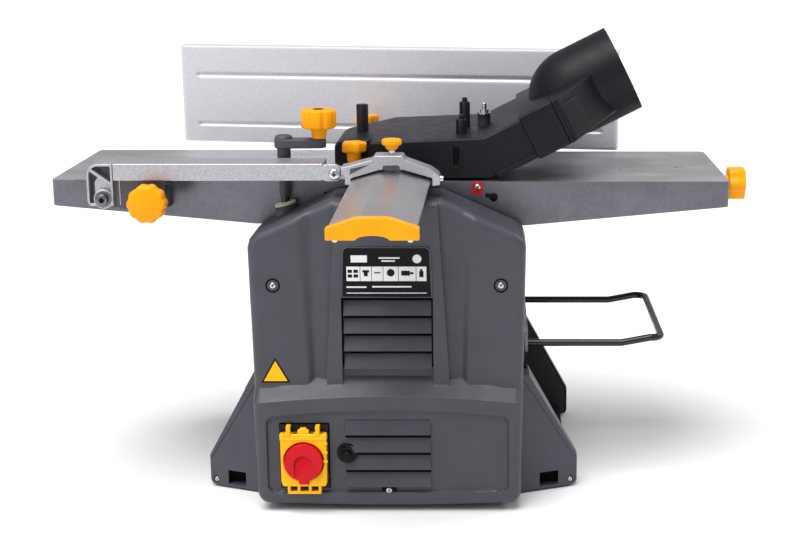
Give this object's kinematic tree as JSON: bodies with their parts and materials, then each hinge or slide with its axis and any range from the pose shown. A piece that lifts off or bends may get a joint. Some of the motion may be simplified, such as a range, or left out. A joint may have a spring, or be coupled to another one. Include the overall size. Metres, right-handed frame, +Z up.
{
  "type": "thickness planer",
  "caption": "Bench-top combined planer and thicknesser with cast tables, bridge guard, chip hood with outlet pipe, tilting fence and height crank.",
  "frame": {"origin": "centre of the base of the object's bounding box, on the floor", "axes": "+X along the tables towards the infeed end, +Y from the casing in front to the fence behind, +Z up"},
  "size_m": [0.7705, 0.5838, 0.4996],
  "materials": {
    "casing": "textured dark grey",
    "foot_grey": "textured grey",
    "black_plastic": "black moulded",
    "yellow": "yellow-orange gloss",
    "red": "red gloss",
    "green": "green gloss",
    "machined": "machined",
    "cast": "sandy cast",
    "steel": "bright",
    "black_steel": "black paint",
    "brass": "turned",
    "rubber": "matt",
    "cream": "cream"
  },
  "bodies": {
    "body": {"base_plate": "black_steel", "front_upright": "black_steel", "rear_upright": "black_steel", "front_cover": "casing", "rear_cover": "casing", "front_foot_cover_left": "foot_grey", "front_foot_cover_right": "foot_grey", "rear_foot_cover_left": "foot_grey", "rear_foot_cover_right": "foot_grey", "rubber_foot_front_left": "rubber", "rubber_foot_front_right": "rubber", "rubber_foot_rear_left": "rubber", "rubber_foot_rear_right": "rubber", "guide_post_front": "steel", "guide_post_rear": "steel", "outfeed_table": "machined", "front_bearing": "steel", "rear_bearing": "steel", "drive_belt": "rubber", "motor": "black_steel", "feed_chain": "steel", "crank_washer": "cream", "guard_bracket": "black_steel", "fence_bracket": "black_steel", "switch_box": "black_plastic"},
    "infeed_bed": {"infeed_table": "machined", "depth_pointer": "red"},
    "depth_wheel": {"depth_knob": "yellow"},
    "cutter": {"cutter_block": "steel", "knife_a": "steel", "knife_b": "steel", "cutter_pulley": "steel"},
    "motor_shaft": {"motor_pulley": "steel"},
    "infeed_feed": {"infeed_roller": "rubber"},
    "outfeed_feed": {"outfeed_roller": "rubber"},
    "fingers": {"kickback_fingers": "steel"},
    "bed": {"thickness_table": "machined", "bed_nut": "brass"},
    "support": {"wire_support": "black_steel"},
    "crank": {"crank_shaft": "steel", "crank_arm": "foot_grey"},
    "crank_handle": {"crank_knob": "yellow"},
    "arm": {"guard_arm": "cast"},
    "arm_knob": {"arm_clamp_knob": "yellow"},
    "clamp": {"guard_clamp": "cast"},
    "guard": {"guard_blade": "machined", "guard_end_cap": "yellow"},
    "guard_knob": {"guard_clamp_knob": "yellow"},
    "hood": {"chip_hood": "black_plastic"},
    "hood_screw": {"hood_knob": "yellow"},
    "adapter": {"outlet_adapter": "black_plastic"},
    "carriage": {"fence_carriage": "cast"},
    "turntable": {"fence_hinge": "black_steel"},
    "fence_face": {"fence": "cast"},
    "fence_screw": {"fence_knob": "yellow"},
    "lid": {"switch_lid": "yellow"},
    "paddle": {"stop_paddle": "red"},
    "start": {"start_button": "green"},
    "stop": {"stop_button": "red"},
    "reset": {"reset_button": "black_plastic"}
  },
  "joints": [
    {"name": "infeed_table_lift", "type": "slide", "parent": "body", "child": "infeed_bed", "axis": [0, 0, 1], "range_m": [0, 0.002]},
    {"name": "depth_knob_turn", "type": "hinge", "parent": "body", "child": "depth_wheel", "pos_m": [0.373, 0.065, 0.325], "axis": [1, 0, 0], "range_deg": [0, 271]},
    {"name": "cutter_spin", "type": "hinge", "parent": "body", "child": "cutter", "pos_m": [-0.017, 0.072, 0.319], "axis": [0, 1, 0], "continuous": true},
    {"name": "motor_spin", "type": "hinge", "parent": "body", "child": "motor_shaft", "pos_m": [0.028, -0.055, 0.078], "axis": [0, 1, 0], "continuous": true},
    {"name": "infeed_roller_spin", "type": "hinge", "parent": "body", "child": "infeed_feed", "pos_m": [0.031, 0.075, 0.307], "axis": [0, 1, 0], "continuous": true},
    {"name": "outfeed_roller_spin", "type": "hinge", "parent": "body", "child": "outfeed_feed", "pos_m": [-0.065, 0.075, 0.307], "axis": [0, 1, 0], "continuous": true},
    {"name": "fingers_swing", "type": "hinge", "parent": "body", "child": "fingers", "pos_m": [0.0495, 0.075, 0.322], "axis": [0, -1, 0], "range_deg": [0, 12]},
    {"name": "bed_lift", "type": "slide", "parent": "body", "child": "bed", "axis": [0, 0, 1], "range_m": [0, 0.115]},
    {"name": "wire_support_slide", "type": "slide", "parent": "bed", "child": "support", "axis": [1, 0, 0], "range_m": [-0.1, 0]},
    {"name": "crank_turn", "type": "hinge", "parent": "body", "child": "crank", "pos_m": [-0.13, -0.045, 0.386], "axis": [0, 0, 1], "range_deg": [0, 20521]},
    {"name": "crank_knob_spin", "type": "hinge", "parent": "crank", "child": "crank_handle", "pos_m": [-0.092, -0.045, 0.405], "axis": [0, 0, 1], "continuous": true},
    {"name": "guard_arm_lift", "type": "hinge", "parent": "body", "child": "arm", "pos_m": [-0.3125, -0.073, 0.335], "axis": [0, -1, 0], "range_deg": [0, 5]},
    {"name": "arm_clamp_knob_turn", "type": "hinge", "parent": "body", "child": "arm_knob", "pos_m": [-0.2625, -0.117, 0.334], "axis": [0, 1, 0], "continuous": true},
    {"name": "guard_level", "type": "hinge", "parent": "arm", "child": "clamp", "pos_m": [-0.071, -0.088, 0.361], "axis": [0, -1, 0], "range_deg": [0, 5]},
    {"name": "guard_slide", "type": "slide", "parent": "clamp", "child": "guard", "axis": [-0.025, -0.9982, -0.0549], "range_m": [0, 0.03]},
    {"name": "guard_clamp_knob_turn", "type": "hinge", "parent": "clamp", "child": "guard_knob", "pos_m": [-0.0115, -0.0865, 0.39], "axis": [0, 0, 1], "continuous": true},
    {"name": "hood_lift", "type": "slide", "parent": "body", "child": "hood", "axis": [0, 0, 1], "range_m": [0, 0.06]},
    {"name": "hood_knob_turn", "type": "hinge", "parent": "hood", "child": "hood_screw", "pos_m": [-0.057, -0.022, 0.378], "axis": [0, 0, 1], "continuous": true},
    {"name": "adapter_pull", "type": "slide", "parent": "hood", "child": "adapter", "axis": [0.8942, 0, 0.4478], "range_m": [0, 0.03]},
    {"name": "fence_slide", "type": "slide", "parent": "body", "child": "carriage", "axis": [0, -1, 0], "range_m": [-0.02, 0.008]},
    {"name": "fence_swivel", "type": "hinge", "parent": "carriage", "child": "turntable", "pos_m": [-0.04647, 0.2566, 0.35], "axis": [0, 0, 1], "range_deg": [-1, 8.6]},
    {"name": "fence_tilt", "type": "hinge", "parent": "turntable", "child": "fence_face", "pos_m": [-0.04647, 0.2566, 0.356], "axis": [-0.9888, 0.1495, 0], "range_deg": [0, 45]},
    {"name": "fence_knob_turn", "type": "hinge", "parent": "body", "child": "fence_screw", "pos_m": [-0.062, 0.207, 0.378], "axis": [0, 0, 1], "continuous": true},
    {"name": "switch_lid_turn", "type": "hinge", "parent": "body", "child": "lid", "pos_m": [-0.1065, -0.134, 0.093], "axis": [-1, 0, 0], "range_deg": [0, 100]},
    {"name": "stop_paddle_press", "type": "slide", "parent": "lid", "child": "paddle", "axis": [0, 1, 0], "range_m": [0, 0.002], "stiffness_N_per_m": 400},
    {"name": "start_press", "type": "slide", "parent": "body", "child": "start", "axis": [0, 1, 0], "range_m": [0, 0.002], "stiffness_N_per_m": 400},
    {"name": "stop_press", "type": "slide", "parent": "body", "child": "stop", "axis": [0, 1, 0], "range_m": [0, 0.002], "stiffness_N_per_m": 400},
    {"name": "reset_press", "type": "slide", "parent": "body", "child": "reset", "axis": [0, 1, 0], "range_m": [0, 0.002], "stiffness_N_per_m": 400}
  ],
  "couplings": [
    {"joint": "motor_spin", "follows": "cutter_spin", "ratio": 0.49},
    {"joint": "outfeed_roller_spin", "follows": "infeed_roller_spin", "ratio": 1},
    {"joint": "crank_turn", "follows": "bed_lift", "rad_per_m": 3114.3},
    {"joint": "depth_knob_turn", "follows": "infeed_table_lift", "rad_per_m": 2356.2}
  ]
}
